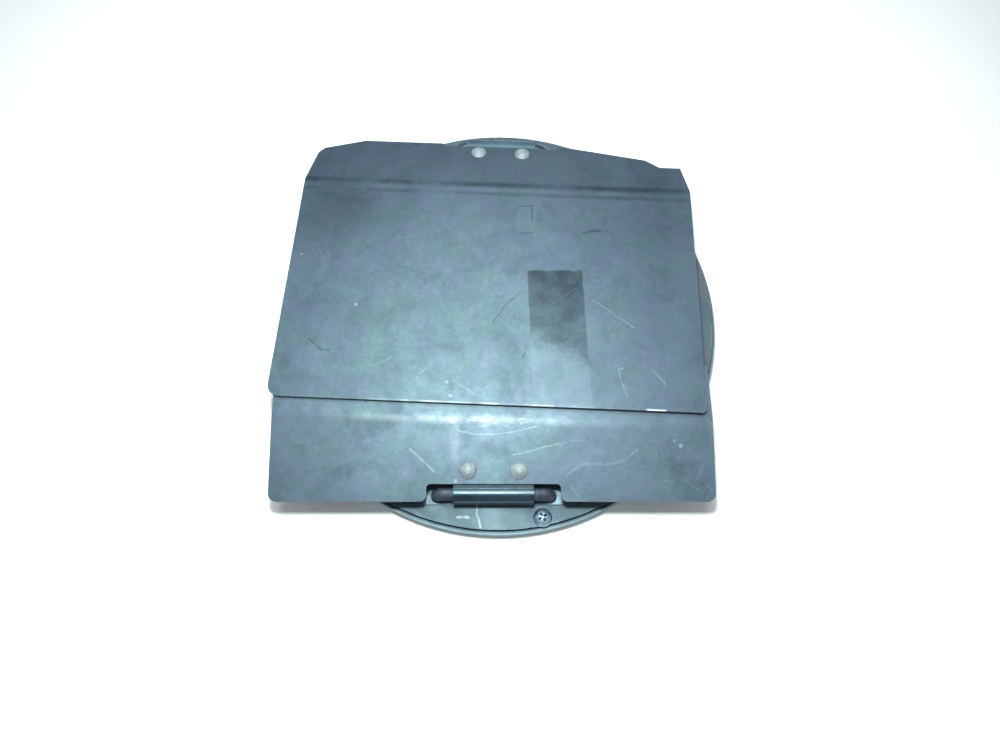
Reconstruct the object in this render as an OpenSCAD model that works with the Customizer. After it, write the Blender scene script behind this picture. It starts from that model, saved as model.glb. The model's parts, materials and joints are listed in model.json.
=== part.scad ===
// Round negative carrier for a photographic enlarger.
// A two-layer base disc carries a film gate with a floating pressure frame.
// Two folded sheet covers, hinged on bent rods at the front and the rear, close over the
// gate; the large rear cover laps over the small front cover.
// Units are millimetres, +Z is up, +X is right, -Y is the front.
// The origin is the centre of the base disc's underside.

/* [Base disc] */
// Diameter of the lower disc, the one that drops into the enlarger's seat
disc_d = 152; // [150:0.5:154]
// Thickness of the lower disc
lower_t = 4.5; // [3.5:0.25:6]
// Thickness of the upper disc
upper_t = 1.5; // [1.25:0.25:3]
// Width of the ledge the lower disc leaves around the upper one
rim_step = 1.3; // [1:0.1:1.6]

/* [Film gate] */
// Film opening, left to right
gate_w = 83; // [56:1:84]
// Film opening, front to rear
gate_d = 56; // [36:1:57]
// Film width between the guide rails
film_w = 62; // [61.5:0.25:63]
// How far the pressure frame lifts off the film
frame_lift = 3.2; // [1:0.2:4]

/* [Covers] */
// Width of both covers, left to right
cover_w = 139.5; // [134:0.5:140]
// Thickness of the cover sheet
sheet_t = 0.9; // [0.7:0.1:1]
// Height of the underside of the front cover's flat
flat_h = 17.2; // [16.9:0.1:18]
// Inside radius of the folds
fold_r = 15; // [6:1:18]
// Length of the lap where the rear cover lies over the front cover
lap = 14; // [6:1:18]
// How far the rear cover is turned clockwise, seen from above
rear_turn = 2.4; // [0:0.1:2.5]
// How far the rear cover's flat drops towards the rear, in degrees
rear_pitch = 1.2; // [0:0.1:1.4]
// How much the rear cover narrows towards its fold, at each side
rear_taper = 1.1; // [0:0.1:2]
// How far the front cover's fold is out of line with its front edge
front_fold_turn = 1.7; // [0:0.1:2]

/* [Hinges] */
// Diameter of the bent hinge rods
rod_d = 4.2; // [3.8:0.1:4.3]
// Width of the hinge leaf and its rolled barrel
leaf_w = 25.3; // [22:0.1:25.4]
// Wall of the rolled barrel
barrel_wall = 1; // [0.7:0.05:1.05]
// How far the leaf's flat lies below the crest of the barrel
leaf_drop = 0.6; // [0:0.1:0.8]
// Overall width of the front hinge rod
front_rod_w = 40; // [38:0.5:42]
// Overall width of the rear hinge rod
rear_rod_w = 35; // [35:0.5:37]
// Diameter of the rivet heads
rivet_head_d = 5.6; // [5:0.1:6]
// Distance between the two rivets of a hinge
rivet_spacing = 15.9; // [14:0.1:17]

/* [Hidden] */
$fn = 64;
disc_top = lower_t + upper_t;
upper_r = disc_d / 2 - rim_step;
through = 60;                 // longer than any hole is deep
slab = 260;                   // larger than any cover

// Disc screws, on the upper disc's edge
screw_r = 1.5;
screw_head_r = 3;
screw_head_h = 1.8;
screw_count = 3;
screw_first_angle = -78.7;
screw_pitch_r = upper_r - 2.5;
screw_hole_gap = 0.1;
press_gap = 0.05;
spigot_z = lower_t + 0.2;     // foot of everything pressed into the upper disc

// Film gate
gate_plate_t = 1.2;
gate_border_x = 9;
gate_plate_w = 84 + 2 * gate_border_x;
gate_plate_d = 74;
gate_corner_r = 3;
gate_top = disc_top + gate_plate_t;
rail_w = 3.5;
rail_t = 1;
rail_y = film_w / 2 + rail_w / 2;
rail_rivet_r = 1;
rail_rivet_x = 40;
gate_screw_x = gate_plate_w / 2 - 4.5;
gate_screw_y = 22;
gate_screw_r = 1.25;
gate_screw_head_r = 2.3;

// Pressure frame and the posts it slides on
film_gap = 0.2;
frame_t = 1.4;
frame_under = gate_top + rail_t + 0.15;
frame_top = frame_under + frame_t;
frame_w = 102;
frame_d = 88;
pad_w = 94;
pad_d = film_w - 1;
post_r = 1.5;
post_x = 46;
post_y = 40;
post_hole_gap = 0.08;
clip_t = 0.6;
clip_r = 2.7;
clip_groove_r = 1.1;
clip_z = frame_top + frame_lift + 0.3;
post_top = clip_z + clip_t + 0.8;
tab_w = 16;
tab_t = 0.8;
tab_h = 4;
tab_reach = 7;
tab_inner_x = 8 - frame_w / 2;
tab_rivet_r = 0.9;
tab_rivet_x = 4 - frame_w / 2;
tab_rivet_y = 5;

// Hinges: both share these sizes
rod_r = rod_d / 2;
rod_gap = 0.06;
rod_bend_r = 2.6;
barrel_bore_r = rod_r + rod_gap;
barrel_r = barrel_bore_r + barrel_wall;
flange_r = barrel_r - leaf_drop;  // from the hinge axis to the underside of the flange
hinge_plate_t = 0.6;
plate_front_y = -2.7;
front_plate_w = 61;
front_plate_d = 9.2;
rear_plate_w = 44;
rear_plate_d = 10.7;
plate_clear = 0.15;
hinge_z = disc_top + hinge_plate_t + plate_clear + barrel_r;
leaf_len = 13;
rivet_r = 1.55;
rivet_hole_r = 1.6;
rivet_head_h = 1.3;
front_rivet_y = 7.35;
rear_rivet_y = 6.2;
front_axis_y = -64.1;
front_axis_x = -1.4;
rear_axis_y = 66.3;
rear_axis_x = 1;
leg_washer_r = 3.4;
leg_washer_t = 0.8;

// Covers, each drawn in its hinge frame: axis on X, +Y towards the middle of the disc
front_fold_y = 23.2;
front_edge_y = -2.8;
front_cover_x = -0.5;
front_corner_r = 2.5;
rear_fold_y = 21.6;
rear_seam_y = 103.8;
rear_cover_x = 0.6;
front_slope = flange_slope(flat_h, front_fold_y);
roll_room = cover_w / 2 * sin(front_fold_turn) * sin(front_slope);
seam_h = flat_h + sheet_t + roll_room + lap * tan(rear_pitch) + 0.1;
rear_fold_h = seam_h - (rear_seam_y - rear_fold_y) * tan(rear_pitch);
rear_slope = flange_slope(rear_fold_h, rear_fold_y);
seam_from_front_axis = rear_axis_y - front_axis_y - rear_seam_y;
front_flat_end = seam_from_front_axis + lap;
rear_edge_y = 1.1;
rear_corner_r = 4;
bite_w = 10;                  // shallow bite at the right end of the hinge edge
bite_ramp = 5;
bite_y = 9.9;
slant_y = 6.4;                // long slant between the bite and the notch
slant_end_x = -23.5;
clip_w = 19;                  // clipped left corner
clip_ramp = 4.5;
clip_y = 5.6;
side_lean = 2.5;              // how far the flange narrows from the fold to the hinge edge
notch_w = 42;
front_notch_y = 2.5;
rear_notch_y = 2.5;
notch_corner_r = 1.3;
notch_flare_r = 2;
fold_steps = 12;

// Stop posts the closed covers rest on
stop_r = 2.6;
stop_cap_r = 3.2;
stop_cap_t = 1.6;
stop_cap_bevel = 0.6;
stop_gap = 0.12;
stop_spigot_r = 1.5;
front_stop_x = 58;
front_stop_y = -32;
rear_stop_x = 58;
rear_stop_y = 36;

// ---- helpers --------------------------------------------------------------------------

// Slope of a cover's hinge flange: the flange passes the hinge axis at flange_r and its
// underside reaches the given height at the fold.
function flange_slope(height, reach) =
    acos(flange_r / norm([height - hinge_z, reach])) - atan2(reach, height - hinge_z);

// Distance along the flange from the hinge axis to the fold.
function flange_len(height, reach) =
    sqrt(pow(height - hinge_z, 2) + reach * reach - flange_r * flange_r);

module front_hinge_frame() {
    translate([front_axis_x, front_axis_y, hinge_z])
        children();
}

module rear_hinge_frame() {
    translate([rear_axis_x, rear_axis_y, hinge_z])
        rotate([0, 0, 180 - rear_turn])
            children();
}

module tube(outer_r, inner_r, h) {
    difference() {
        cylinder(r = outer_r, h = h);
        translate([0, 0, -1])
            cylinder(r = inner_r, h = h + 2);
    }
}

// Copies the children to the four corners (+-x, +-y).
module at_corners(x, y) {
    for (sx = [-1, 1], sy = [-1, 1])
        translate([sx * x, sy * y, 0])
            children();
}

module at_disc_screws() {
    for (i = [0 : screw_count - 1])
        rotate([0, 0, screw_first_angle + i * 360 / screw_count])
            translate([screw_pitch_r, 0, 0])
                children();
}

// Copies the children to the two legs of a hinge rod, in its hinge frame.
module at_legs(rod_w) {
    for (side = [-1, 1])
        translate([side * (rod_w / 2 - rod_r), 0, 0])
            children();
}

module at_all_legs() {
    front_hinge_frame()
        at_legs(front_rod_w)
            children();
    rear_hinge_frame()
        at_legs(rear_rod_w)
            children();
}

// Flat plate with round corners, centred, standing on z = 0.
module round_plate(w, d, t, r) {
    union() {
        translate([-w / 2 + r, -d / 2, 0])
            cube([w - 2 * r, d, t]);
        translate([-w / 2, -d / 2 + r, 0])
            cube([w, d - 2 * r, t]);
        at_corners(w / 2 - r, d / 2 - r)
            cylinder(r = r, h = t);
    }
}

// Low domed head standing on z = 0: a slice off the top of a ball.
module domed_head(r, h) {
    ball_r = (r * r + h * h) / (2 * h);
    intersection() {
        translate([0, 0, h - ball_r])
            sphere(r = ball_r);
        cylinder(r = r, h = h + 1);
    }
}

// Headed rivet through a stack; z = 0 is the face under the domed head.
module rivet(shank_r, grip, head_r, head_h, tail_r, tail_h) {
    domed_head(head_r, head_h);
    translate([0, 0, -grip])
        cylinder(r = shank_r, h = grip + 0.01);
    translate([0, 0, -grip - tail_h])
        cylinder(r = tail_r, h = tail_h);
}

// ---- base disc ------------------------------------------------------------------------

module gate_opening(extra) {
    translate([0, 0, -through / 2])
        round_plate(gate_w + 2 * extra, gate_d + 2 * extra, through, 1);
}

module rod_leg_holes() {
    at_all_legs()
        translate([0, 0, -through / 2])
            cylinder(r = rod_r + rod_gap, h = through);
}

// Flat-bottomed pockets for the washers under the rod legs.
module washer_pockets() {
    at_all_legs()
        translate([0, 0, -hinge_z - 1])
            cylinder(r = leg_washer_r + 0.1, h = leg_washer_t + 1.2);
}

module lower_disc() {
    color([0.16, 0.18, 0.20])
        difference() {
            cylinder(r = disc_d / 2, h = lower_t, $fn = 180);
            gate_opening(3);
            rod_leg_holes();
            washer_pockets();
            at_disc_screws()
                translate([0, 0, -1])
                    cylinder(r = screw_r + screw_hole_gap, h = through);
        }
}

module upper_disc() {
    color([0.20, 0.23, 0.25])
        difference() {
            translate([0, 0, lower_t])
                cylinder(r = upper_r, h = upper_t, $fn = 180);
            gate_opening(1);
            rod_leg_holes();
            at_disc_screws()
                cylinder(r = screw_r + screw_hole_gap, h = through);
            at_corners(gate_screw_x, gate_screw_y)
                cylinder(r = gate_screw_r + press_gap, h = through);
            at_corners(post_x, post_y)
                cylinder(r = post_r + press_gap, h = through);
            at_stops()
                cylinder(r = stop_spigot_r + press_gap, h = through);
        }
}

module disc_screw() {
    arm = 3.2;
    blade = 0.7;
    difference() {
        union() {
            domed_head(screw_head_r, screw_head_h);
            translate([0, 0, 0.5 - disc_top])
                cylinder(r = screw_r, h = disc_top);
        }
        for (turn = [20, 110])
            rotate([0, 0, turn])
                translate([-arm / 2, -blade / 2, screw_head_h - 1.1])
                    cube([arm, blade, 2]);
    }
}

module disc_screws() {
    color([0.72, 0.78, 0.80])
        at_disc_screws()
            translate([0, 0, disc_top])
                disc_screw();
}

// ---- film gate ------------------------------------------------------------------------

module gate_plate() {
    color([0.62, 0.64, 0.66])
        difference() {
            translate([0, 0, disc_top])
                round_plate(gate_plate_w, gate_plate_d, gate_plate_t, gate_corner_r);
            gate_opening(0);
            at_corners(gate_screw_x, gate_screw_y)
                translate([0, 0, disc_top - 1]) {
                    cylinder(r = gate_screw_r + 0.15, h = through);
                    translate([0, 0, 1 + gate_plate_t - gate_screw_head_r])
                        cylinder(r1 = 0, r2 = gate_screw_head_r * 2, h = gate_screw_head_r * 2);
                }
            for (side = [-1, 1], end = [-1, 0, 1])
                translate([end * rail_rivet_x, side * rail_y, disc_top - 1])
                    cylinder(r = rail_rivet_r + press_gap, h = through);
        }
}

// Flush screw: cone head level with the gate plate, straight slot across it.
module gate_screw() {
    gap = 0.05;
    difference() {
        union() {
            translate([0, 0, gap - gate_screw_head_r])
                cylinder(r1 = 0, r2 = gate_screw_head_r - gap, h = gate_screw_head_r - 2 * gap);
            translate([0, 0, spigot_z - gate_top])
                cylinder(r = gate_screw_r, h = gate_top - spigot_z - 0.5);
        }
        rotate([0, 0, 30])
            translate([-gate_screw_head_r, -0.3, -0.7])
                cube([2 * gate_screw_head_r, 0.6, 2]);
    }
}

module gate_screws() {
    color([0.45, 0.46, 0.47])
        at_corners(gate_screw_x, gate_screw_y)
            translate([0, 0, gate_top])
                gate_screw();
}

module film_guides() {
    color([0.55, 0.57, 0.58])
        for (side = [-1, 1])
            difference() {
                translate([0, side * rail_y, gate_top])
                    round_plate(gate_plate_w - 4, rail_w, rail_t, 1.2);
                for (end = [-1, 0, 1])
                    translate([end * rail_rivet_x, side * rail_y, gate_top - 1])
                        cylinder(r = rail_rivet_r + press_gap, h = through);
            }
}

// Flush rivets that hold the guide rails to the gate plate.
module guide_rivets() {
    color([0.68, 0.70, 0.70])
        for (side = [-1, 1], end = [-1, 0, 1])
            translate([end * rail_rivet_x, side * rail_y, disc_top + 0.05])
                cylinder(r = rail_rivet_r, h = gate_plate_t + rail_t - 0.1);
}

module guide_posts() {
    color([0.60, 0.62, 0.64])
        at_corners(post_x, post_y)
            difference() {
                union() {
                    translate([0, 0, spigot_z])
                        cylinder(r = post_r, h = post_top - spigot_z - 0.4);
                    translate([0, 0, post_top - 0.4])
                        cylinder(r1 = post_r, r2 = post_r - 0.4, h = 0.4);
                }
                translate([0, 0, clip_z])
                    tube(post_r + 1, clip_groove_r, clip_t);
            }
}

// Spring clips in the post grooves: open rings.
module post_clips() {
    color([0.30, 0.31, 0.33])
        at_corners(post_x, post_y)
            translate([0, 0, clip_z + 0.05])
                difference() {
                    tube(clip_r, clip_groove_r + 0.05, clip_t - 0.1);
                    translate([0, -0.8, -1])
                        cube([clip_r + 1, 1.6, 3]);
                }
}

module pressure_frame() {
    color([0.24, 0.25, 0.27])
        difference() {
            union() {
                translate([0, 0, frame_under])
                    round_plate(frame_w, frame_d, frame_t, 4);
                translate([0, 0, gate_top + film_gap])
                    round_plate(pad_w, pad_d, frame_under - gate_top - film_gap + 0.1, 2);
            }
            gate_opening(0);
            at_corners(post_x, post_y)
                cylinder(r = post_r + post_hole_gap, h = through);
            for (side = [-1, 1])
                translate([tab_rivet_x, side * tab_rivet_y, 0])
                    cylinder(r = tab_rivet_r + press_gap, h = through);
        }
}

// Finger tab on the left edge of the pressure frame, turned up at its outer end.
module lift_tab() {
    outer_x = -frame_w / 2 - tab_reach;
    color([0.24, 0.25, 0.27])
        difference() {
            translate([0, -tab_w / 2, frame_top])
                union() {
                    translate([outer_x + tab_t, 0, 0])
                        cube([tab_inner_x - outer_x - tab_t, tab_w, tab_t]);
                    translate([outer_x, 0, 0])
                        cube([tab_t, tab_w, tab_h]);
                }
            for (side = [-1, 1])
                translate([tab_rivet_x, side * tab_rivet_y, 0])
                    cylinder(r = tab_rivet_r + press_gap, h = through);
        }
}

module tab_rivets() {
    color([0.60, 0.62, 0.64])
        for (side = [-1, 1])
            translate([tab_rivet_x, side * tab_rivet_y, frame_top + tab_t])
                rivet(tab_rivet_r, frame_t + tab_t - 0.1, 1.8, 0.7, tab_rivet_r, 0.05);
}

// ---- stop posts -----------------------------------------------------------------------

module at_stops() {
    for (side = [-1, 1]) {
        translate([side * front_stop_x, front_stop_y, 0])
            children();
        translate([side * rear_stop_x, rear_stop_y, 0])
            children();
    }
}

function front_stop_top() = flat_h - roll_room - stop_gap;

// Lowest height of the rear cover's flat over the rear stops.
function rear_stop_top() =
    rear_fold_h - stop_gap
    + (rear_axis_y - rear_stop_y - rear_stop_x * sin(rear_turn) - stop_cap_r - rear_fold_y)
    * tan(rear_pitch);

module stop_post(top) {
    translate([0, 0, spigot_z])
        cylinder(r = stop_spigot_r, h = disc_top - spigot_z + 1);
    translate([0, 0, disc_top])
        cylinder(r = stop_r, h = top - stop_cap_t - disc_top);
}

module stop_cap(top) {
    translate([0, 0, top - stop_cap_t])
        cylinder(r = stop_cap_r, h = stop_cap_t - stop_cap_bevel);
    translate([0, 0, top - stop_cap_bevel])
        cylinder(r1 = stop_cap_r, r2 = stop_cap_r - stop_cap_bevel, h = stop_cap_bevel);
}

module stop_posts() {
    color([0.55, 0.57, 0.58])
        for (side = [-1, 1]) {
            translate([side * front_stop_x, front_stop_y, 0])
                stop_post(front_stop_top());
            translate([side * rear_stop_x, rear_stop_y, 0])
                stop_post(rear_stop_top());
        }
}

module stop_caps() {
    color([0.08, 0.08, 0.09])
        for (side = [-1, 1]) {
            translate([side * front_stop_x, front_stop_y, 0])
                stop_cap(front_stop_top());
            translate([side * rear_stop_x, rear_stop_y, 0])
                stop_cap(rear_stop_top());
        }
}

// ---- hinges, drawn in a hinge frame ---------------------------------------------------

// Rod lying along the hinge axis with both ends bent down through the discs.
module hinge_rod(rod_w) {
    straight = rod_w / 2 - rod_r - rod_bend_r;
    color([0.30, 0.33, 0.36])
        union() {
            translate([-straight, 0, 0])
                rotate([0, 90, 0])
                    cylinder(r = rod_r, h = 2 * straight);
            for (side = [0, 1])
                mirror([side, 0, 0])
                    translate([straight, 0, -rod_bend_r]) {
                        rotate([90, 0, 0])
                            rotate_extrude(angle = 90)
                                translate([rod_bend_r, 0])
                                    circle(r = rod_r, $fn = 32);
                        translate([rod_bend_r, 0, rod_bend_r + 0.3 - hinge_z])
                            cylinder(r = rod_r, h = hinge_z - rod_bend_r - 0.3);
                    }
        }
}

module rod_washers(rod_w) {
    color([0.45, 0.47, 0.49])
        at_legs(rod_w)
            translate([0, 0, 0.15 - hinge_z])
                tube(leg_washer_r, rod_r + rod_gap, leg_washer_t);
}

// Thin wear plate between the hinge and the disc.
module hinge_plate(plate_w, plate_d, rod_w) {
    color([0.48, 0.53, 0.56])
        difference() {
            translate([0, plate_front_y + plate_d / 2, disc_top - hinge_z])
                round_plate(plate_w, plate_d, hinge_plate_t, 2);
            at_legs(rod_w)
                translate([0, 0, -through / 2])
                    cylinder(r = rod_r + rod_gap, h = through);
        }
}

// Leaf rolled round the rod; its flat lies under the cover's flange.
module hinge_leaf(slope, rivet_y) {
    color([0.17, 0.19, 0.22])
        rotate([slope, 0, 0])
            difference() {
                union() {
                    translate([-leaf_w / 2, 0, 0])
                        rotate([0, 90, 0])
                            cylinder(r = barrel_r, h = leaf_w);
                    translate([-leaf_w / 2, 0, flange_r - barrel_wall])
                        cube([leaf_w, leaf_len, barrel_wall]);
                }
                translate([-slab / 2, 0, 0])
                    rotate([0, 90, 0])
                        cylinder(r = barrel_bore_r, h = slab);
                rivet_holes(rivet_y);
            }
}

module rivet_holes(rivet_y) {
    for (side = [-1, 1])
        translate([side * rivet_spacing / 2, rivet_y, 0])
            cylinder(r = rivet_hole_r, h = through);
}

module hinge_rivets(slope, rivet_y) {
    color([0.74, 0.78, 0.76])
        rotate([slope, 0, 0])
            for (side = [-1, 1])
                translate([side * rivet_spacing / 2, rivet_y, flange_r + sheet_t])
                    rivet(rivet_r, sheet_t + barrel_wall, rivet_head_d / 2, rivet_head_h, 2.3, 0.8);
}

// ---- covers, drawn in a hinge frame ---------------------------------------------------

// Sheet folded once: the flange lies on the hinge leaf at the given slope, and the flat
// runs on from the fold at the given pitch. The fold line may be turned in the flange's plane.
module folded_sheet(slope, pitch, fold_at, turn) {
    fold = slope - pitch;
    run_in = fold_r * tan(fold / 2);
    flat_dir = [cos(fold), -sin(fold)];
    flat_up = [sin(fold), cos(fold)];
    flat_end = flat_dir * slab / 2;
    under = concat([[-slab / 2, 0]], fold_arc(fold_r, fold, run_in), [flat_end]);
    over = concat([flat_end + flat_up * sheet_t],
                  reversed(fold_arc(fold_r + sheet_t, fold, run_in)),
                  [[-slab / 2, sheet_t]]);
    rotate([slope, 0, 0])
        translate([0, fold_at, flange_r])
            rotate([90, 0, 90 - turn])
                linear_extrude(height = slab, center = true)
                    polygon(concat(under, over));
}

// Points of one face of the fold, as seen along the fold line.
function fold_arc(r, fold, run_in) =
    [for (i = [0 : fold_steps])
        let (a = 90 - fold * i / fold_steps)
            [r * cos(a) - run_in, r * sin(a) - fold_r]];

function reversed(list) = [for (i = [len(list) - 1 : -1 : 0]) list[i]];

// Notch that clears the hinge barrel, seen from above: open towards -Y, with a flared
// mouth at edge_y and its inner edge at notch_y.
module notch(edge_y, notch_y) {
    flare = min(notch_flare_r, (notch_y - edge_y) / 2);
    corner_r = min(notch_corner_r, (notch_y - edge_y) / 2);
    outside = 10;
    difference() {
        union() {
            translate([-notch_w / 2, edge_y - outside])
                square([notch_w, notch_y - edge_y + outside - corner_r]);
            translate([-notch_w / 2 + corner_r, edge_y - outside])
                square([notch_w - 2 * corner_r, notch_y - edge_y + outside]);
            for (side = [-1, 1])
                translate([side * (notch_w / 2 - corner_r), notch_y - corner_r])
                    circle(r = corner_r);
            translate([-notch_w / 2 - flare, edge_y - outside])
                square([notch_w + 2 * flare, outside + flare]);
        }
        for (side = [-1, 1])
            translate([side * (notch_w / 2 + flare), edge_y + flare])
                circle(r = flare);
    }
}

module front_outline() {
    left = front_cover_x - cover_w / 2;
    depth = front_flat_end - front_edge_y;
    difference() {
        union() {
            translate([left + front_corner_r, front_edge_y])
                square([cover_w - 2 * front_corner_r, depth]);
            translate([left, front_edge_y + front_corner_r])
                square([cover_w, depth - front_corner_r]);
            for (side = [-1, 1])
                translate([front_cover_x + side * (cover_w / 2 - front_corner_r),
                           front_edge_y + front_corner_r])
                    circle(r = front_corner_r);
        }
        notch(front_edge_y, front_notch_y);
    }
}

// The rear cover narrows a little towards its fold. Its hinge edge has been trimmed: a
// clipped corner on the left, a long slant and a shallow bite on the right.
// In this frame the object's left is +X.
module rear_outline() {
    left = cover_w / 2 + rear_cover_x;
    right = left - cover_w;
    fold_left = left - rear_taper;
    fold_right = right + rear_taper;
    difference() {
        polygon([
            [fold_right, rear_fold_y],
            [fold_right + side_lean, bite_y],
            [fold_right + bite_w, bite_y],
            [fold_right + bite_w + bite_ramp, slant_y],
            [slant_end_x, rear_edge_y],
            [fold_left - clip_w, rear_edge_y],
            [fold_left - clip_ramp, clip_y],
            [fold_left - side_lean, clip_y + side_lean],
            [fold_left, rear_fold_y],
            [left, rear_seam_y - rear_corner_r],
            for (a = [15 : 15 : 90])
                [left - rear_corner_r * (1 - cos(a)), rear_seam_y - rear_corner_r * (1 - sin(a))],
            [right + 1, rear_seam_y],
            [right, rear_seam_y - 1]
        ]);
        notch(rear_edge_y, rear_notch_y);
    }
}

module front_cover() {
    color([0.22, 0.26, 0.30])
        front_hinge_frame()
            difference() {
                intersection() {
                    folded_sheet(front_slope, 0, flange_len(flat_h, front_fold_y), front_fold_turn);
                    translate([0, 0, -through / 2])
                        linear_extrude(height = through)
                            front_outline();
                }
                rotate([front_slope, 0, 0])
                    rivet_holes(front_rivet_y);
            }
}

module rear_cover() {
    color([0.20, 0.24, 0.27])
        rear_hinge_frame()
            difference() {
                intersection() {
                    folded_sheet(rear_slope, rear_pitch, flange_len(rear_fold_h, rear_fold_y), 0);
                    translate([0, 0, -through / 2])
                        linear_extrude(height = through)
                            rear_outline();
                }
                rotate([rear_slope, 0, 0])
                    rivet_holes(rear_rivet_y);
            }
}

// ---- placed hinge parts ---------------------------------------------------------------

module front_hinge_plate() {
    front_hinge_frame()
        hinge_plate(front_plate_w, front_plate_d, front_rod_w);
}

module front_hinge_rod() {
    front_hinge_frame()
        hinge_rod(front_rod_w);
}

module front_rod_washers() {
    front_hinge_frame()
        rod_washers(front_rod_w);
}

module front_hinge_leaf() {
    front_hinge_frame()
        hinge_leaf(front_slope, front_rivet_y);
}

module front_rivets() {
    front_hinge_frame()
        hinge_rivets(front_slope, front_rivet_y);
}

// Trimmed to the edge of the upper disc.
module rear_hinge_plate() {
    intersection() {
        rear_hinge_frame()
            hinge_plate(rear_plate_w, rear_plate_d, rear_rod_w);
        cylinder(r = upper_r - 0.4, h = through, $fn = 180);
    }
}

module rear_hinge_rod() {
    rear_hinge_frame()
        hinge_rod(rear_rod_w);
}

module rear_rod_washers() {
    rear_hinge_frame()
        rod_washers(rear_rod_w);
}

module rear_hinge_leaf() {
    rear_hinge_frame()
        hinge_leaf(rear_slope, rear_rivet_y);
}

module rear_rivets() {
    rear_hinge_frame()
        hinge_rivets(rear_slope, rear_rivet_y);
}

// ---- drawing --------------------------------------------------------------------------

lower_disc();
upper_disc();
disc_screws();
gate_plate();
gate_screws();
film_guides();
guide_rivets();
guide_posts();
post_clips();
pressure_frame();
lift_tab();
tab_rivets();
stop_posts();
stop_caps();
front_hinge_plate();
front_hinge_rod();
front_rod_washers();
front_hinge_leaf();
front_cover();
front_rivets();
rear_hinge_plate();
rear_hinge_rod();
rear_rod_washers();
rear_hinge_leaf();
rear_cover();
rear_rivets();
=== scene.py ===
"""Looks for the negative carrier: worn painted sheet covers on a round disc, riveted hinges,
a film gate under the covers, a pale table and a flash-like light.

Lengths are millimetres in the part's frame unless a name says otherwise; Blender's own units
are metres.
"""

import json
import math

import bpy
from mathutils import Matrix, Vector


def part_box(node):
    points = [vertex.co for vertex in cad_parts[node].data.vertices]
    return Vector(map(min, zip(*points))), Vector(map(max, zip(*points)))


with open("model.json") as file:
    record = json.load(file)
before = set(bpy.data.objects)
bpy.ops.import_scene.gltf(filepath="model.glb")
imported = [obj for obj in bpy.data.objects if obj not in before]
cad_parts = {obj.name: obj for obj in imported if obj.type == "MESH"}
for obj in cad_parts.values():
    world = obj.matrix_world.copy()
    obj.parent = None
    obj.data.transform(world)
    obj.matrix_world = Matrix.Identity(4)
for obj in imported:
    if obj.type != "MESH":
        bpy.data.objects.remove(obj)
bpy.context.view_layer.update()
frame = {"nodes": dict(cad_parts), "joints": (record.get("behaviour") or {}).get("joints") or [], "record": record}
NODES = frame["nodes"]
MM = 0.001


# ---- a small helper for building shader graphs ------------------------------------------

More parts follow.
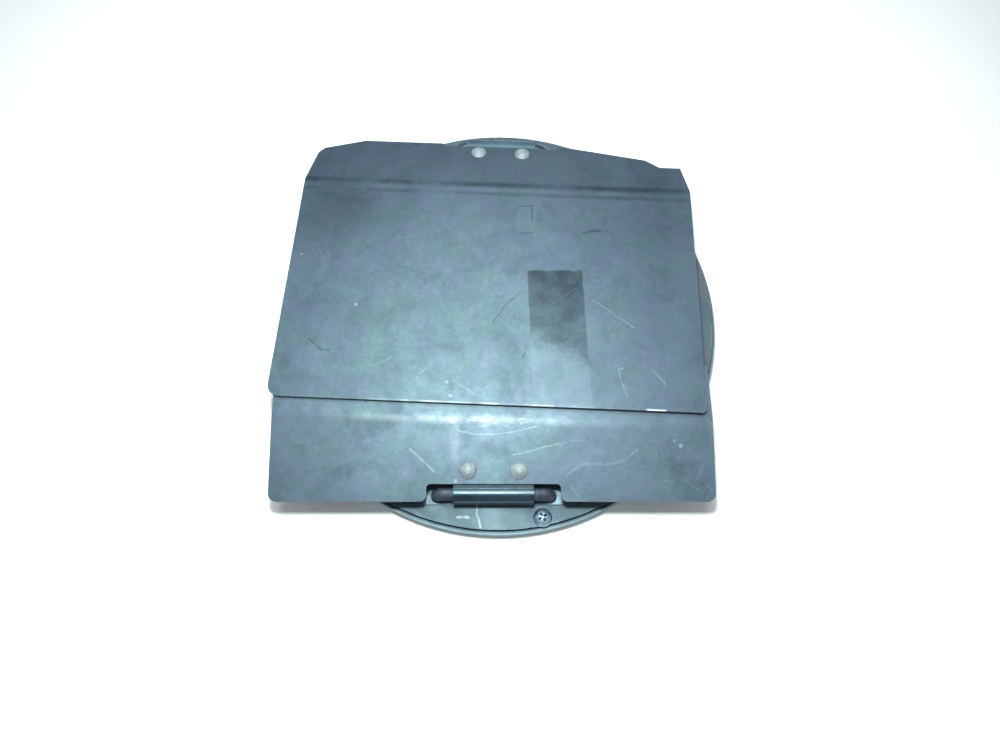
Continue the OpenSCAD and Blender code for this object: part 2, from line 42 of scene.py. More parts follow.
class Graph:
    """One material's node tree, with the object's rest position in millimetres as self.pos."""

    def __init__(self, name):
        self.material = bpy.data.materials.new(name)
        self.material.use_nodes = True
        self.tree = self.material.node_tree
        self.tree.nodes.clear()
        coords = self.add("ShaderNodeTexCoord")
        self.pos = self.vector("SCALE", coords.outputs["Object"], scale=1 / MM)
        self.x, self.y, self.z = self.split(self.pos)

    def add(self, kind, **props):
        node = self.tree.nodes.new(kind)
        for key, value in props.items():
            setattr(node, key, value)
        return node

    def link(self, value, socket):
        """Connects a socket, or writes a plain value, into an input."""
        if isinstance(value, bpy.types.NodeSocket):
            self.tree.links.new(value, socket)
        else:
            socket.default_value = value

    def math(self, operation, a, b=0.0):
        node = self.add("ShaderNodeMath", operation=operation)
        self.link(a, node.inputs[0])
        self.link(b, node.inputs[1])
        return node.outputs[0]

    def vector(self, operation, a, b=(0, 0, 0), scale=1.0):
        node = self.add("ShaderNodeVectorMath", operation=operation)
        self.link(a, node.inputs[0])
        if operation == "SCALE":
            self.link(scale, node.inputs["Scale"])
        else:
            self.link(b, node.inputs[1])
        return node.outputs["Value" if operation in ("DOT_PRODUCT", "LENGTH") else 0]

    def combine(self, x, y, z=0.0):
        node = self.add("ShaderNodeCombineXYZ")
        for value, socket in zip((x, y, z), node.inputs):
            self.link(value, socket)
        return node.outputs[0]

    def split(self, vector):
        node = self.add("ShaderNodeSeparateXYZ")
        self.link(vector, node.inputs[0])
        return node.outputs[0], node.outputs[1], node.outputs[2]

    def remap(self, value, low, high, out_low=0.0, out_high=1.0, smooth=True):
        """Maps low..high to out_low..out_high, held at both ends; low may be above high."""
        node = self.add("ShaderNodeMapRange")
        node.interpolation_type = "SMOOTHSTEP" if smooth else "LINEAR"
        for name, number in zip(("Value", "From Min", "From Max", "To Min", "To Max"),
                                (value, low, high, out_low, out_high)):
            self.link(number, node.inputs[name])
        return node.outputs[0]

    def noise(self, size, detail=4.0, roughness=0.55, where=None, distortion=0.0):
        """Noise whose blobs are about `size` mm across; value about 0.5."""
        node = self.add("ShaderNodeTexNoise")
        self.link(self.pos if where is None else where, node.inputs["Vector"])
        node.inputs["Scale"].default_value = 1 / size
        node.inputs["Detail"].default_value = detail
        node.inputs["Roughness"].default_value = roughness
        node.inputs["Distortion"].default_value = distortion
        return node.outputs["Fac"]

    def mix(self, factor, a, b):
        node = self.add("ShaderNodeMix", data_type="RGBA")
        for value, index in ((factor, 0), (a, 6), (b, 7)):
            self.link(value, node.inputs[index])
        return node.outputs[2]

    def times(self, *values):
        result = values[0]
        for value in values[1:]:
            result = self.math("MULTIPLY", result, value)
        return result

    def gap(self, value, centre):
        """How far a value lies from a centre, on either side."""
        return self.math("ABSOLUTE", self.math("SUBTRACT", value, centre))

    def either(self, *masks):
        """The strongest of several masks."""
        result = masks[0]
        for mask in masks[1:]:
            result = self.math("MAXIMUM", result, mask)
        return result

    def along(self, angle):
        """Distance along a direction in the XY plane; the angle is in degrees from +X."""
        direction = (math.cos(math.radians(angle)), math.sin(math.radians(angle)), 0)
        return self.vector("DOT_PRODUCT", self.pos, direction)

    def cells(self, where, dimensions="2D"):
        """Random cells: offset from the cell's own point, and three random numbers."""
        node = self.add("ShaderNodeTexVoronoi", voronoi_dimensions=dimensions)
        self.link(where, node.inputs["Vector"])
        node.inputs["Scale"].default_value = 1.0
        offset = self.vector("SUBTRACT", where, node.outputs["Position"])
        return offset, self.split(node.outputs["Color"])

    def hairlines(self, angle, length, spacing, width, keep, seed):
        """Fine scratches at about one angle, one in each kept cell, of uneven strength."""
        sway = self.noise(length * 2.0, detail=1.0)
        across = self.math("ADD", self.along(angle + 90), self.remap(sway, 0.3, 0.7, -2.5, 2.5))
        where = self.combine(
            self.math("ADD", self.math("MULTIPLY", self.along(angle), 1 / length), seed),
            self.math("MULTIPLY", across, 1 / spacing))
        offset, (kept, strength, _) = self.cells(where)
        off_x, off_y, _ = self.split(offset)
        ends = self.remap(self.gap(off_x, 0.0), 0.45, 0.1)
        core = self.remap(self.gap(off_y, 0.0), width / spacing, width / spacing * 0.3)
        chosen = self.math("LESS_THAN", kept, keep)
        return self.times(ends, core, chosen, self.math("POWER", strength, 2.0))

    def specks(self, spacing, radius, keep):
        """Scattered round specks of uneven size."""
        offset, (kept, size, _) = self.cells(self.vector("SCALE", self.pos, scale=1 / spacing), "3D")
        far = self.vector("LENGTH", offset)
        edge = self.remap(size, 0, 1, radius / spacing * 0.4, radius / spacing)
        inside = self.remap(self.math("SUBTRACT", far, edge), 0.0, -0.04)
        return self.times(inside, self.math("LESS_THAN", kept, keep))

    def stroke(self, points, width, wobble=0.35):
        """Mask of a scratch drawn through points (x, y)."""
        drift = self.noise(7.0, detail=2.0)
        shift = self.remap(drift, 0.3, 0.7, -wobble, wobble, smooth=False)
        flat = self.combine(self.math("ADD", self.x, shift), self.math("ADD", self.y, shift))
        segments = []
        for start, end in zip(points, points[1:]):
            run = Vector((end[0] - start[0], end[1] - start[1], 0))
            offset = self.vector("SUBTRACT", flat, (start[0], start[1], 0))
            part = self.vector("DOT_PRODUCT", offset, run / run.length_squared)
            part = self.math("MINIMUM", self.math("MAXIMUM", part, 0.0), 1.0)
            foot = self.vector("SCALE", run, scale=part)
            gap = self.vector("LENGTH", self.vector("SUBTRACT", offset, foot))
            segments.append(self.remap(gap, width * 0.6, width * 0.15))
        grain = self.noise(1.2, detail=2.0)
        return self.times(self.either(*segments), self.remap(grain, 0.3, 0.55, 0.3, 1.0))

    def spot(self, centre, radius, softness=0.5):
        """Mask of a round spot in the XY plane."""
        flat = self.combine(self.x, self.y)
        gap = self.vector("LENGTH", self.vector("SUBTRACT", flat, (centre[0], centre[1], 0)))
        return self.remap(gap, radius, radius * (1 - softness))

    def upper_side(self):
        """Mask of the faces that look up when the piece is at rest."""
        coords = self.add("ShaderNodeTexCoord")
        _, _, facing_up = self.split(coords.outputs["Normal"])
        return self.remap(facing_up, -0.1, 0.3)

    def rounded(self, radius):
        """Normal as if sharp edges were rounded to `radius`."""
        bevel = self.add("ShaderNodeBevel", samples=6)
        bevel.inputs["Radius"].default_value = radius * MM
        return bevel.outputs[0]

    def edge_wear(self, radius):
        """Mask of rubbed edges: where the rounded normal leaves the true one, in patches."""
        geometry = self.add("ShaderNodeNewGeometry")
        same = self.vector("DOT_PRODUCT", self.rounded(radius), geometry.outputs["Normal"])
        patchy = self.remap(self.noise(3.0, detail=5.0), 0.42, 0.62)
        return self.times(self.remap(same, 0.995, 0.90), patchy)

    def hollow_shade(self, reach):
        """Mask of hollows that other surfaces within `reach` mm close in, for painting shade into them."""
        shade = self.add("ShaderNodeAmbientOcclusion", samples=8)
        shade.inputs["Distance"].default_value = reach * MM
        return self.remap(shade.outputs["AO"], 0.95, 0.65)

    def finish(self, color, roughness, metallic=0.0, height=None, height_mm=0.02,
               edge_mm=0.2, **extra):
        """Ends the tree in one principled surface with rounded edges and an optional bump."""
        surface = self.add("ShaderNodeBsdfPrincipled")
        self.link(color, surface.inputs["Base Color"])
        self.link(roughness, surface.inputs["Roughness"])
        self.link(metallic, surface.inputs["Metallic"])
        for name, value in extra.items():
            self.link(value, surface.inputs[name.replace("_", " ")])
        normal = self.rounded(edge_mm) if edge_mm else None
        if height is not None:
            bump = self.add("ShaderNodeBump")
            bump.inputs["Distance"].default_value = height_mm * MM
            self.link(height, bump.inputs["Height"])
            if normal is not None:
                self.link(normal, bump.inputs["Normal"])
            normal = bump.outputs[0]
        if normal is not None:
            self.link(normal, surface.inputs["Normal"])
        out = self.add("ShaderNodeOutputMaterial")
        self.link(surface.outputs[0], out.inputs["Surface"])
        return self.material


def rgb(red, green, blue):
    """Linear colour from 0-255 display values."""
    def linear(value):
        value /= 255
        return value / 12.92 if value <= 0.04045 else ((value + 0.055) / 1.055) ** 2.4
    return (linear(red), linear(green), linear(blue), 1.0)


# ---- painted covers ---------------------------------------------------------------------

PAINT_DARK = rgb(36, 50, 58)
PAINT_MID = rgb(54, 68, 76)
PAINT_GREEN = rgb(44, 66, 66)
PAINT_PURPLE = rgb(56, 62, 80)
# Tints of the paint's reflection: it gives back less red than it gets.
PAINT_SHEEN = (0.68, 1.0, 1.12, 1.0)
SHEEN_GREEN = (0.64, 1.01, 1.07, 1.0)
SHEEN_PURPLE = (0.74, 0.97, 1.22, 1.0)
BARE_METAL = rgb(170, 190, 198)
# Pale colour of rubbed paint, also painting the highlight along the rear cover's front edge.
BURNISH_AND_HIGHLIGHT = rgb(214, 212, 220)
RESIDUE = rgb(34, 44, 50)
DUST = rgb(176, 190, 194)
# Middle of the covers' painted sheen: the paint reflects most here and less far from it, standing in for the light
# falling off; the paint's tint also turns bluer away from it.
SHEEN_AND_TINT_MIDDLE = (-16, -24, 0)


def painted_sheet(name, details, far_gloss):
    """Faded satin black paint on sheet metal, with a painted sheen: glossy in the middle and duller far from it,
    standing in for the light falling off.

    `details` gives the masks of light scratches, dark marks, some of them painted shade, and rubbed spots, on the
    rear cover's front edge partly a painted highlight.
    """
    g = Graph(name)
    upper = g.upper_side()
    clouds = g.noise(38.0, detail=5.0, roughness=0.6)
    blotches = g.noise(11.0, detail=6.0, roughness=0.65, distortion=0.8)
    from_middle = g.vector("LENGTH", g.vector("SUBTRACT", g.combine(g.x, g.y), SHEEN_AND_TINT_MIDDLE))
    tint = g.math("ADD", g.noise(9.0, detail=6.0, roughness=0.7),
                  g.remap(from_middle, 15, 60, 0.02, -0.09))
    green = g.remap(tint, 0.46, 0.68)
    purple = g.remap(tint, 0.54, 0.32)
    color = g.mix(g.remap(clouds, 0.35, 0.65), PAINT_DARK, PAINT_MID)
    color = g.mix(g.times(green, 0.4), color, PAINT_GREEN)
    color = g.mix(g.times(purple, 0.5), color, PAINT_PURPLE)
    color = g.mix(g.remap(blotches, 0.50, 0.72, 0.0, 0.5), color, PAINT_DARK)
    sheen = g.mix(g.times(green, 0.8), PAINT_SHEEN, SHEEN_GREEN)
    sheen = g.mix(g.times(purple, 0.8), sheen, SHEEN_PURPLE)

    hairlines = g.either(
        g.hairlines(24, 22, 9.0, 0.20, 0.45, 1.3),
        g.hairlines(-37, 16, 8.0, 0.16, 0.45, 5.1),
        g.hairlines(78, 24, 11.0, 0.20, 0.4, 9.7),
        g.hairlines(-68, 13, 7.0, 0.16, 0.4, 13.2),
    )
    light, dark, wear_and_highlight = (g.times(mask, upper) for mask in details(g))
    # Rubbed wear, with a painted highlight along the rear cover's front edge.
    rub_and_highlight = g.either(g.times(g.edge_wear(0.5), 0.15), wear_and_highlight)
    scratches = g.either(g.times(hairlines, 0.06), light)
    color = g.mix(dark, color, RESIDUE)
    color = g.mix(g.times(g.specks(4.0, 0.2, 0.12), 0.5), color, DUST)
    color = g.mix(g.times(g.specks(6.3, 0.3, 0.10), 0.8), color, RESIDUE)
    color = g.mix(scratches, color, BARE_METAL)
    color = g.mix(g.times(rub_and_highlight, 0.6), color, BURNISH_AND_HIGHLIGHT)

    smears = g.noise(21.0, detail=5.0, roughness=0.6, distortion=1.5)
    roughness = g.remap(smears, 0.3, 0.7, 0.47, 0.59)
    roughness = g.math("SUBTRACT", roughness, g.times(rub_and_highlight, 0.08))
    # Painted sheen: the paint reflects more near the middle point and less, down to far_gloss, far from it,
    # standing in for the light falling off.
    gloss = g.times(g.remap(blotches, 0.3, 0.7, 1.04, 0.80),
                    g.remap(from_middle, 22, 92, 1.13, far_gloss),
                    g.remap(upper, 0, 1, 0.45, 1.0),
                    g.remap(g.noise(1.6, detail=4.0, roughness=0.7), 0.3, 0.7, 0.90, 1.10))
    gloss = g.math("SUBTRACT", gloss, g.times(dark, 0.7))

    grain = g.noise(0.45, detail=2.0)
    dents = g.noise(30.0, detail=1.0)
    height = g.math("ADD", g.times(grain, 0.25), g.times(dents, 6.0))
    height = g.math("SUBTRACT", height, g.times(scratches, 0.5))
    metallic = g.times(g.either(rub_and_highlight, scratches), 0.5)
    return g.finish(color, roughness, metallic, height, 0.02, edge_mm=0.08,
                    Specular_IOR_Level=gloss, Specular_Tint=sheen)


# Lines of the rear cover, from the joint that turns it: its axis lies along the hinge rod.
FOLD_FROM_HINGE = 21.6
EDGE_FROM_HINGE = 103.8
JOINTS = {joint["name"]: joint for joint in frame["joints"]}
REAR_AXIS = Vector(JOINTS["rear_cover_hinge"]["axis"])
REAR_SQUARE = Vector((REAR_AXIS.y, -REAR_AXIS.x, 0))
REAR_HINGE_LINE = REAR_SQUARE.dot(Vector(JOINTS["rear_cover_hinge"]["pos_m"])) / MM
FOLD_LINE = REAR_HINGE_LINE - FOLD_FROM_HINGE
SEAM_LINE = REAR_HINGE_LINE - EDGE_FROM_HINGE

# Where a strip of tape lay on the rear cover, and how far it leans.
TAPE_MIDDLE_X = 19.4
TAPE_HALF_W = 9.25
TAPE_END_Y = 10.35
TAPE_LEAN = 0.028

# Line of the front cover's fold.
FRONT_FOLD_Y = -42.2
FRONT_FOLD_SLOPE = 0.03


def rear_depth(g):
    """Distance behind the disc's centre, measured square to the rear hinge."""
    return g.vector("DOT_PRODUCT", g.pos, REAR_SQUARE)


def tape_residue(g, ragged):
    """Masks of the dirty glue left at the rear end of the tape, and of the paint it kept clean."""
    lean = g.math("ADD", g.times(ragged, 0.5), g.times(g.y, TAPE_LEAN))
    across = g.gap(g.math("ADD", g.x, lean), TAPE_MIDDLE_X)
    strip = g.times(g.remap(across, TAPE_HALF_W + 0.25, TAPE_HALF_W - 0.25),
                    g.remap(g.math("ADD", g.y, ragged), TAPE_END_Y + 0.35, TAPE_END_Y - 0.35))
    diagonal = g.math("ADD", g.y, g.times(g.math("SUBTRACT", g.x, 10.0), 0.5))
    dirty = g.remap(g.math("ADD", diagonal, g.times(ragged, 6.0)), -18.0, -9.0)
    fade = g.times(dirty, g.remap(g.y, -25.0, 10.0, 0.45, 1.0, smooth=False))
    patches = g.remap(g.noise(6.5, detail=6.0, roughness=0.7), 0.34, 0.60, 0.7, 1.0)
    bits = g.math("SUBTRACT", 1.0, g.specks(2.1, 0.35, 0.2))
    residue = g.times(strip, fade, patches, bits)
    clean = g.times(strip, g.math("SUBTRACT", 1.0, dirty), 0.06)
    return residue, clean


def fold_shade_lines(g, ragged):
    """Two soft broken lines of painted shade along the rear cover's fold, dark where the crease turns away from
    the light.
    """
    from_fold = g.math("SUBTRACT", FOLD_LINE, rear_depth(g))
    from_fold = g.math("ADD", from_fold, g.times(ragged, 0.4))
    behind = g.remap(g.gap(from_fold, -0.2), 2.1, 0.0)
    before = g.remap(g.gap(from_fold, 3.6), 1.4, 0.0)
    broken = g.remap(g.noise(12.0, detail=5.0), 0.34, 0.62, 0.2, 0.7)
    return g.times(g.either(behind, g.times(before, 0.6)), broken)


def rear_edge_wear_and_highlight(g):
    """Front edge of the rear cover lightened: rubbed wear, and a painted highlight brightest in the middle where
    the edge catches the light; one rubbed chip at the right.
    """
    from_edge = g.math("SUBTRACT", rear_depth(g), SEAM_LINE)
    middle = g.remap(g.gap(g.x, -6.0), 42.0, 14.0)
    patchy = g.remap(g.noise(9.0, detail=4.0), 0.40, 0.60, 0.15, 0.6)
    chip = g.remap(g.gap(g.x, 49.8), 3.6, 2.4)
    return g.times(g.remap(from_edge, 0.8, 0.2), g.either(g.times(middle, patchy), chip))


def rear_cover_details(g):
    """Tape residue, painted shade along the fold and towards the rear-left corner, a few long scratches, and a
    scuffed front edge that is partly a painted highlight.
    """
    ragged = g.remap(g.noise(2.0, detail=4.0), 0.3, 0.7, -0.3, 0.3, smooth=False)
    residue, clean = tape_residue(g, ragged)
    arcs = g.either(
        g.stroke([(8.0, 2.7), (2.9, -2.1), (-0.4, -6.9), (-2.0, -9.4)], 0.5),
        g.stroke([(9.0, -17.6), (8.0, -21.5)], 0.5),
    )
    smudges = g.either(
        g.stroke([(7.7, 35.9), (11.9, 36.2), (11.8, 30.1)], 0.7),
        g.stroke([(7.5, 24.9), (11.7, 24.9)], 0.7),
        g.stroke([(29.4, 24.9), (35.4, 26.1)], 1.2),
        g.stroke([(-61.8, -14.8), (-57.5, -19.0), (-54.9, -19.0)], 0.8),
    )
    # Painted shade: the paint darkens towards the rear-left corner, as if less light fell there.
    painted_corner_shade = g.times(g.spot((-56.0, 34.0), 24.0, 1.0), 0.45)
    dark = g.either(residue, g.times(arcs, 0.7), g.times(smudges, 0.55),
                    fold_shade_lines(g, ragged), painted_corner_shade)

    light = g.either(
        g.stroke([(31.5, -0.9), (37.9, -5.6), (44.6, -10.9)], 0.5),
        g.stroke([(41.2, -34.9), (39.1, -27.8), (38.6, -25.6), (40.3, -25.1)], 0.6),
        g.stroke([(50.0, -26.0), (51.9, -28.6), (53.7, -31.4)], 0.7),
        g.stroke([(-21.2, -23.0), (-23.9, -25.8), (-26.4, -29.0)], 0.5),
        g.stroke([(-14.9, -29.0), (-3.1, -36.2)], 0.5),
        g.stroke([(-34.5, -21.5), (-40.0, -24.3)], 0.4),
        g.stroke([(-2.6, -31.3), (-5.4, -32.7)], 0.5),
    )
    chips = g.either(
        g.spot((-47.3, -2.4), 0.8),
        g.spot((-16.4, -30.0), 0.8),
        g.spot((-15.2, -34.5), 0.8),
        g.spot((-67.3, 16.8), 0.5),
    )
    light = g.either(g.times(light, 0.14), g.times(chips, 0.25), clean)
    return light, dark, rear_edge_wear_and_highlight(g)


def front_fold_rub(g):
    """Bright rubbing along the front cover's fold, with bursts and a smear in the middle."""
    slanted = g.math("ADD", g.y, g.times(g.x, FRONT_FOLD_SLOPE))
    from_fold = g.gap(slanted, FRONT_FOLD_Y)
    line = g.times(g.remap(from_fold, 1.8, 0.2),
                   g.remap(g.gap(g.x, -7.0), 58.0, 8.0),
                   g.remap(g.noise(6.0, detail=5.0), 0.30, 0.62, 0.10, 0.34))
    streaks = g.noise(1.0, detail=5.0, roughness=0.7,
                      where=g.combine(g.times(g.x, 0.22), g.times(g.y, 0.6)))
    bursts = g.times(g.remap(from_fold, 2.8, 0.2),
                     g.remap(g.gap(g.x, -4.0), 22.0, 8.0),
                     g.remap(streaks, 0.44, 0.66))
    smear = g.stroke([(-13.7, -44.5), (-13.7, -54.0)], 3.2, 0.6)
    return g.either(line, g.times(bursts, 0.6), g.times(smear, 0.16))


def front_cover_details(g):
    """Bright rubbing along the fold and a tangle of scratches on the small cover."""
    tangle = g.either(
        g.hairlines(12, 15, 4.0, 0.34, 0.6, 21.4),
        g.hairlines(-52, 12, 3.6, 0.30, 0.5, 27.9),
        g.hairlines(48, 13, 4.0, 0.30, 0.5, 33.3),
        g.hairlines(-16, 9, 3.2, 0.26, 0.5, 39.6),
    )
    tangle = g.times(tangle, g.remap(g.noise(24.0, detail=2.0), 0.42, 0.60, 0.25, 0.9))
    marks = g.either(
        g.stroke([(-27.7, -51.0), (-19.7, -58.0)], 0.8, 0.1),
        g.stroke([(-12.9, -45.4), (-6.7, -46.4), (1.0, -46.4), (7.3, -45.2), (12.7, -43.9)], 0.6),
        g.stroke([(4.7, -52.8), (19.6, -49.0)], 0.55),
        g.spot((-13.3, -60.7), 0.8),
        g.spot((57.4, -50.0), 0.9),
        g.spot((55.4, -48.4), 0.5),
    )
    loop = g.stroke([(21.2, -59.2), (25.9, -55.8), (30.5, -55.2), (34.4, -55.9), (39.8, -54.3),
                     (43.7, -51.3)], 1.1)
    light = g.either(g.times(tangle, 0.10), g.times(marks, 0.24), g.times(loop, 0.10))
    dark = g.remap(g.noise(13.0, detail=5.0), 0.56, 0.72, 0.0, 0.3)
    return light, dark, front_fold_rub(g)


# ---- discs and hardware -----------------------------------------------------------------

# The step between the two discs: radius and height of the upper disc.
UPPER_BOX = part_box("upper_disc")
STEP_RADIUS = UPPER_BOX[1][0] / MM
STEP_TOP = UPPER_BOX[1][2] / MM
RIM_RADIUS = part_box("lower_disc")[1][0] / MM


def disc_paint():
    """Worn satin black on turned metal: faint lathe rings, scuffs, painted shade in the rim step and a painted
    highlight on the rim's outer edge.
    """
    g = Graph("disc_paint")
    radius = g.vector("LENGTH", g.combine(g.x, g.y))
    rings = g.noise(0.8, detail=3.0, where=g.combine(radius, 0.0))
    clouds = g.noise(22.0, detail=5.0)
    color = g.mix(g.remap(clouds, 0.35, 0.65), rgb(38, 50, 56), rgb(56, 68, 74))
    color = g.mix(g.remap(rings, 0.55, 0.75, 0.0, 0.25), color, rgb(90, 102, 108))
    scuffs = g.either(
        g.hairlines(8, 18, 8.0, 0.12, 0.5, 3.1),
        g.hairlines(70, 22, 9.0, 0.12, 0.5, 7.7),
        g.hairlines(-40, 14, 8.0, 0.10, 0.5, 11.3),
        g.stroke([(-6.4, -66.4), (-6.7, -70.0), (-5.7, -74.0)], 0.8),
        g.stroke([(-13.0, -70.8), (-9.5, -71.0)], 1.2),
    )
    marks = g.times(g.either(scuffs, g.edge_wear(0.5)), 0.5)
    color = g.mix(marks, color, BARE_METAL)
    # Painted shade: the corner of the step between the discs is darkened as if in shadow.
    in_step = g.times(g.remap(radius, STEP_RADIUS - 0.3, STEP_RADIUS - 0.1),
                      g.remap(radius, STEP_RADIUS + 0.7, STEP_RADIUS + 0.2))
    low = g.remap(g.z, STEP_TOP - 0.1, STEP_TOP - 0.4)
    painted_step_shade = g.times(in_step, low)
    color = g.mix(g.times(painted_step_shade, 0.9), color, rgb(20, 40, 54))
    # Painted highlight: the outer edge and side of the lower disc are lightened as if catching the light.
    painted_rim_highlight = g.times(g.remap(radius, RIM_RADIUS - 0.5, RIM_RADIUS - 0.1),
                      g.remap(g.noise(5.0, detail=4.0), 0.3, 0.6, 0.5, 0.9))
    color = g.mix(painted_rim_highlight, color, rgb(122, 146, 152))
    stains = g.times(g.remap(g.x, 62.0, 70.0), g.remap(g.noise(5.0, detail=5.0), 0.42, 0.60))
    color = g.mix(g.times(stains, 0.6), color, rgb(72, 66, 74))
    gloss = g.remap(painted_step_shade, 0.0, 1.0, 0.78, 0.3)
    roughness = g.remap(g.noise(12.0, detail=3.0), 0.3, 0.7, 0.50, 0.62)
    height = g.math("ADD", g.times(rings, 0.5), g.times(g.noise(0.5), 0.3))
    return g.finish(color, roughness, g.times(marks, 0.5), height, 0.02,
                    Specular_IOR_Level=gloss, Specular_Tint=PAINT_SHEEN)


def leaf_enamel(name, dark, bright, rough):
    """Semi-gloss enamel on a rolled hinge leaf, nicked along the edges."""
    g = Graph(name)
    color = g.mix(g.remap(g.noise(7.0, detail=5.0), 0.35, 0.65), dark, bright)
    nicks = g.specks(2.5, 0.22, 0.06)
    marks = g.either(g.times(g.edge_wear(0.3), 0.4), g.times(nicks, 0.3))
    color = g.mix(marks, color, rgb(130, 146, 154))
    roughness = g.remap(g.noise(3.5, detail=4.0), 0.3, 0.7, rough - 0.03, rough + 0.03)
    return g.finish(color, roughness, g.times(marks, 0.6), g.noise(0.8, detail=2.0), 0.005,
                    Specular_IOR_Level=0.5, Specular_Tint=PAINT_SHEEN)


def metal(name, dark, bright, rough, grain_mm=0.5, brush_angle=None, wear=0.4):
    """Plain or brushed metal with tarnish, fine grain and brighter edges."""
    g = Graph(name)
    tarnish = g.noise(5.0, detail=6.0, roughness=0.65)
    color = g.mix(g.remap(tarnish, 0.36, 0.64), dark, bright)
    color = g.mix(g.times(g.edge_wear(0.3), wear), color, BARE_METAL)
    pits = g.remap(g.noise(1.3, detail=3.0), 0.60, 0.70)
    color = g.mix(g.times(pits, 0.35), color, dark)
    height = g.noise(grain_mm, detail=3.0)
    if brush_angle is not None:
        fine = g.combine(g.times(g.along(brush_angle), 0.03), g.times(g.along(brush_angle + 90), 2.5),
                         g.times(g.z, 2.5))
        brushed = g.noise(1.0, detail=4.0, where=fine)
        height = g.math("ADD", g.times(height, 0.3), brushed)
        color = g.mix(g.remap(brushed, 0.35, 0.65, 0.0, 0.22), color, dark)
    roughness = g.remap(g.noise(4.0, detail=3.0), 0.3, 0.7, rough - 0.08, rough + 0.10)
    return g.finish(color, roughness, 1.0, height, 0.010)


def rivet_metal():
    """Dull oxidised aluminium with pale bloom, grime in the pits."""
    g = Graph("rivet_metal")
    bloom = g.noise(1.6, detail=6.0, roughness=0.7)
    color = g.mix(g.remap(bloom, 0.38, 0.62), rgb(112, 126, 130), rgb(140, 152, 152))
    pits = g.remap(g.noise(0.7, detail=3.0), 0.58, 0.68)
    color = g.mix(g.times(pits, 0.5), color, rgb(80, 92, 96))
    roughness = g.remap(bloom, 0.3, 0.7, 0.58, 0.70)
    return g.finish(color, roughness, 0.4, g.noise(0.55, detail=3.0), 0.03)


def zinc_plate():
    """Zinc with the blue cast of a thin passivation film, painted shade in the screw's recess."""
    g = Graph("zinc_plate")
    film = g.noise(2.0, detail=3.0, distortion=0.8)
    color = g.mix(g.remap(film, 0.38, 0.62), rgb(112, 146, 176), rgb(160, 182, 192))
    pits = g.remap(g.noise(0.8, detail=3.0), 0.60, 0.70)
    color = g.mix(g.times(pits, 0.5), color, rgb(50, 66, 84))
    # Painted shade: the screw's recess is darkened where other surfaces close it in.
    color = g.mix(g.hollow_shade(0.8), color, rgb(20, 26, 34))
    return g.finish(color, g.remap(film, 0.3, 0.7, 0.40, 0.55), 1.0, g.noise(0.7, detail=2.0), 0.04)


def black_anodised():
    """Matt black of the pressure frame, polished grey where film rubs it."""
    g = Graph("black_anodised")
    color = g.mix(g.remap(g.noise(14.0, detail=4.0), 0.35, 0.65), rgb(34, 37, 40), rgb(52, 56, 60))
    hairs = g.either(g.hairlines(2, 26, 6.0, 0.12, 0.6, 4.2), g.hairlines(84, 18, 6.0, 0.1, 0.5, 8.8))
    marks = g.times(g.either(hairs, g.edge_wear(0.4)), 0.45)
    color = g.mix(marks, color, rgb(150, 156, 158))
    roughness = g.remap(g.noise(9.0), 0.3, 0.7, 0.42, 0.60)
    return g.finish(color, roughness, g.times(marks, 0.8), g.noise(0.4, detail=2.0), 0.010)


def stop_rubber():
    """Matt black rubber, dusty on top."""
    g = Graph("stop_rubber")
    dust = g.remap(g.noise(1.8, detail=5.0), 0.45, 0.70, 0.0, 0.4)
    color = g.mix(dust, rgb(24, 25, 26), rgb(96, 98, 96))
    return g.finish(color, g.remap(dust, 0.0, 0.4, 0.62, 0.85), 0.0, g.noise(0.35, detail=3.0), 0.03)


MATERIALS = {
    "disc_black": disc_paint(),
    "leaf_black": leaf_enamel("leaf_black", rgb(14, 26, 34), rgb(24, 40, 50), 0.31),
    "hinge_steel": metal("hinge_steel", rgb(70, 86, 96), rgb(104, 122, 132), 0.55, 0.5, 0),
    "rod_steel": metal("rod_steel", rgb(64, 72, 82), rgb(88, 98, 108), 0.70, 0.4, wear=0.2),
    "rivet_metal": rivet_metal(),
    "zinc_screw": zinc_plate(),
    "gate_aluminium": metal("gate_aluminium", rgb(150, 154, 158), rgb(190, 194, 196), 0.32, 0.5, 0),
    "bright_steel": metal("bright_steel", rgb(140, 144, 148), rgb(186, 190, 192), 0.26, 0.4),
    "steel_dark": metal("steel_dark", rgb(70, 72, 75), rgb(104, 106, 108), 0.36, 0.4),
    "black_anodised": black_anodised(),
    "stop_rubber": stop_rubber(),
}
OWN_MATERIALS = {
    # A painted-light copy of the hinge enamel: the rear leaf gets lighter colours than the front leaf, standing in
    # for the light falling on it.
    "rear_hinge_leaf": leaf_enamel("leaf_painted_lighter", rgb(44, 60, 72), rgb(58, 76, 88), 0.50),
    "rear_cover": painted_sheet("rear_cover_paint", rear_cover_details, 0.58),
    "front_cover": painted_sheet("front_cover_paint", front_cover_details, 0.88),
}
SLOT_OF = {part["node"]: part["material_slot"] for part in frame["record"]["subparts"]}

for node_name, piece in NODES.items():
    piece.data.materials.clear()
    material = OWN_MATERIALS.get(node_name) or MATERIALS[SLOT_OF[node_name]]
    piece.data.materials.append(material)


# ---- table, light and camera ------------------------------------------------------------

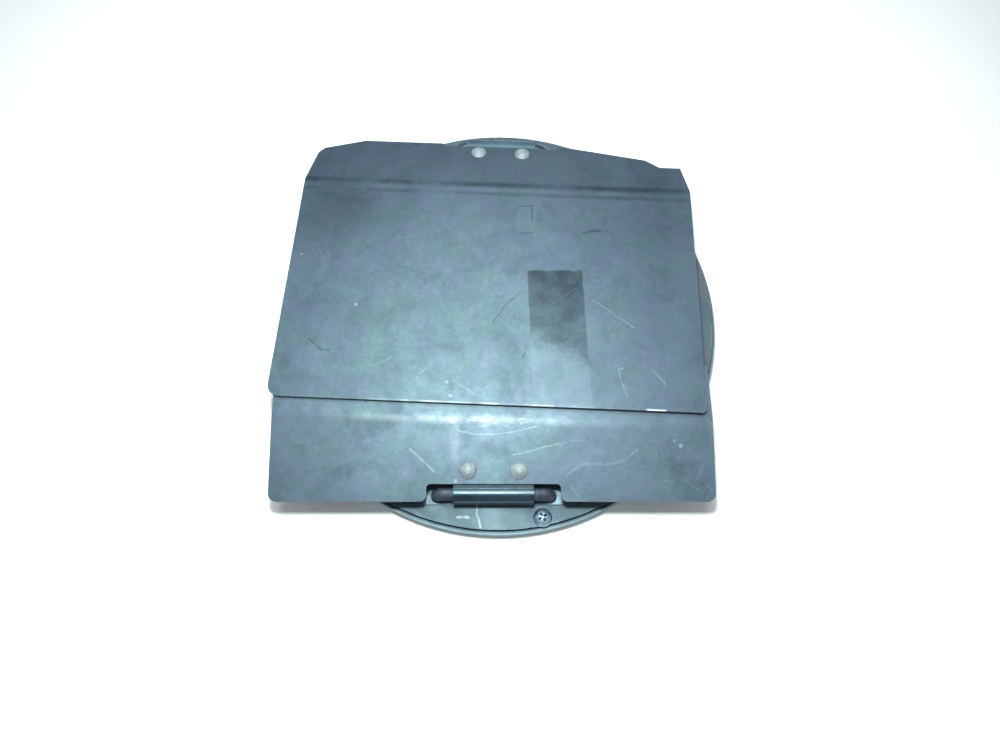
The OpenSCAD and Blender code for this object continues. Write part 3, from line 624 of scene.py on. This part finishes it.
def table_top():
    """Pale table with a faint unevenness."""
    half_m = 3.0
    below_disc_mm = 0.2
    mesh = bpy.data.meshes.new("table_top")
    corners = [(-half_m, -half_m, 0), (half_m, -half_m, 0), (half_m, half_m, 0),
               (-half_m, half_m, 0)]
    mesh.from_pydata(corners, [], [(0, 1, 2, 3)])
    table = bpy.data.objects.new("table_top", mesh)
    table.location.z = -below_disc_mm * MM
    bpy.context.scene.collection.objects.link(table)
    g = Graph("table_paint")
    patches = g.noise(160.0, detail=2.0)
    color = g.mix(g.remap(patches, 0.3, 0.7), (0.80, 0.81, 0.81, 1), (0.86, 0.865, 0.865, 1))
    mesh.materials.append(g.finish(color, 0.7, 0.0, g.noise(1.5, detail=2.0), 0.01, edge_mm=0))


def area_light(name, place_mm, aim_mm, size_mm, watts, color):
    """Square area light facing a point."""
    data = bpy.data.lights.new(name, "AREA")
    data.size = size_mm * MM
    data.energy = watts
    data.color = color
    light = bpy.data.objects.new(name, data)
    light.location = Vector(place_mm) * MM
    aim = Vector(aim_mm) * MM - light.location
    light.rotation_euler = aim.to_track_quat("-Z", "Y").to_euler()
    bpy.context.scene.collection.objects.link(light)


def surroundings(strength):
    """Soft even room light."""
    world = bpy.data.worlds.new("room")
    bpy.context.scene.world = world
    world.use_nodes = True
    background = world.node_tree.nodes["Background"]
    background.inputs["Color"].default_value = (0.90, 0.98, 1.0, 1)
    background.inputs["Strength"].default_value = strength


def photo_camera():
    """Hand-held close view: steep, from the front, with a wide lens."""
    elevation = math.radians(70.2)
    distance_mm = 253
    target = Vector((0.6, -20.5, 0.0))
    data = bpy.data.cameras.new("camera")
    data.sensor_width = 36
    data.lens = 26.1
    data.clip_start = 0.01
    camera = bpy.data.objects.new("camera", data)
    back = Vector((0, -math.cos(elevation), math.sin(elevation)))
    camera.location = (target + back * distance_mm) * MM
    camera.rotation_euler = (math.pi / 2 - elevation, 0, 0)
    bpy.context.scene.collection.objects.link(camera)
    bpy.context.scene.camera = camera


table_top()
surroundings(0.45)
area_light("flash", (-8, -32, 250), (0, -10, 0), 30, 0.9, (0.93, 0.99, 1.0))
area_light("bounce", (-15, 75, 290), (0, -10, 0), 180, 0.72, (0.93, 0.99, 1.0))
photo_camera()
bpy.context.scene.view_settings.view_transform = "Standard"

bpy.context.view_layer.update()
